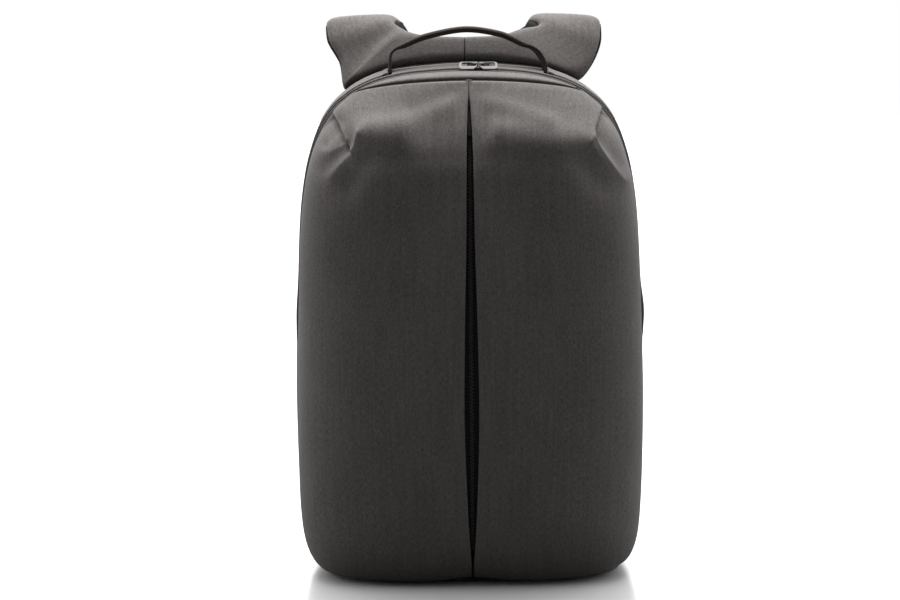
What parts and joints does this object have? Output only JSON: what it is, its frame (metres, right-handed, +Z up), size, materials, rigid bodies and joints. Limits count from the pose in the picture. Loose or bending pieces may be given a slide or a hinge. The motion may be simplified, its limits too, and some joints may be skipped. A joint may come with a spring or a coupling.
{
  "type": "backpack",
  "caption": "Soft upright backpack with a zipped centre slit in the front, an arched main zip with metal loop pullers, a top carry handle and padded shoulder straps.",
  "frame": {"origin": "middle of the outer box on the surface that the bag stands on", "axes": "+Z up, -Y out of the zipped front, +Y towards the wearer's back and the straps, +X to the viewer's right"},
  "size_m": [0.2995, 0.228, 0.4772],
  "materials": {
    "cloth": "woven dark grey melange",
    "dark_cloth": "woven charcoal",
    "mesh": "black spacer mesh",
    "webbing": "ribbed charcoal webbing",
    "zip_black": "black coil on woven tape",
    "zip_grey": "grey coil on woven tape",
    "plastic": "satin black",
    "steel": "polished"
  },
  "bodies": {
    "bag": {"front_panel_left": "cloth", "front_panel_right": "cloth", "top_band": "cloth", "main_zip": "zip_grey", "side_gusset_left": "cloth", "side_gusset_right": "cloth", "top_gusset": "cloth", "back_panel": "mesh", "base_panel": "dark_cloth", "carry_handle": "webbing", "strap_left": "cloth", "strap_right": "cloth", "strap_lining_left": "mesh", "strap_lining_right": "mesh", "ladder_lock_left": "plastic", "ladder_lock_right": "plastic", "strap_webbing_left": "webbing", "strap_webbing_right": "webbing", "front_zip": "zip_black", "front_zip_slider": "zip_black", "zip_slider_left": "steel", "zip_slider_right": "steel"},
    "puller_left": {"zip_puller_left": "steel"},
    "puller_right": {"zip_puller_right": "steel"}
  },
  "joints": [
    {"name": "puller_left_hinge", "type": "hinge", "parent": "bag", "child": "puller_left", "pos_m": [0.0062, -0.0208, 0.43459], "axis": [0, 0.8253, 0.5646], "range_deg": [0, 85]},
    {"name": "puller_right_hinge", "type": "hinge", "parent": "bag", "child": "puller_right", "pos_m": [0.0114, -0.0208, 0.43444], "axis": [0, -0.8253, -0.5646], "range_deg": [0, 85]}
  ]
}
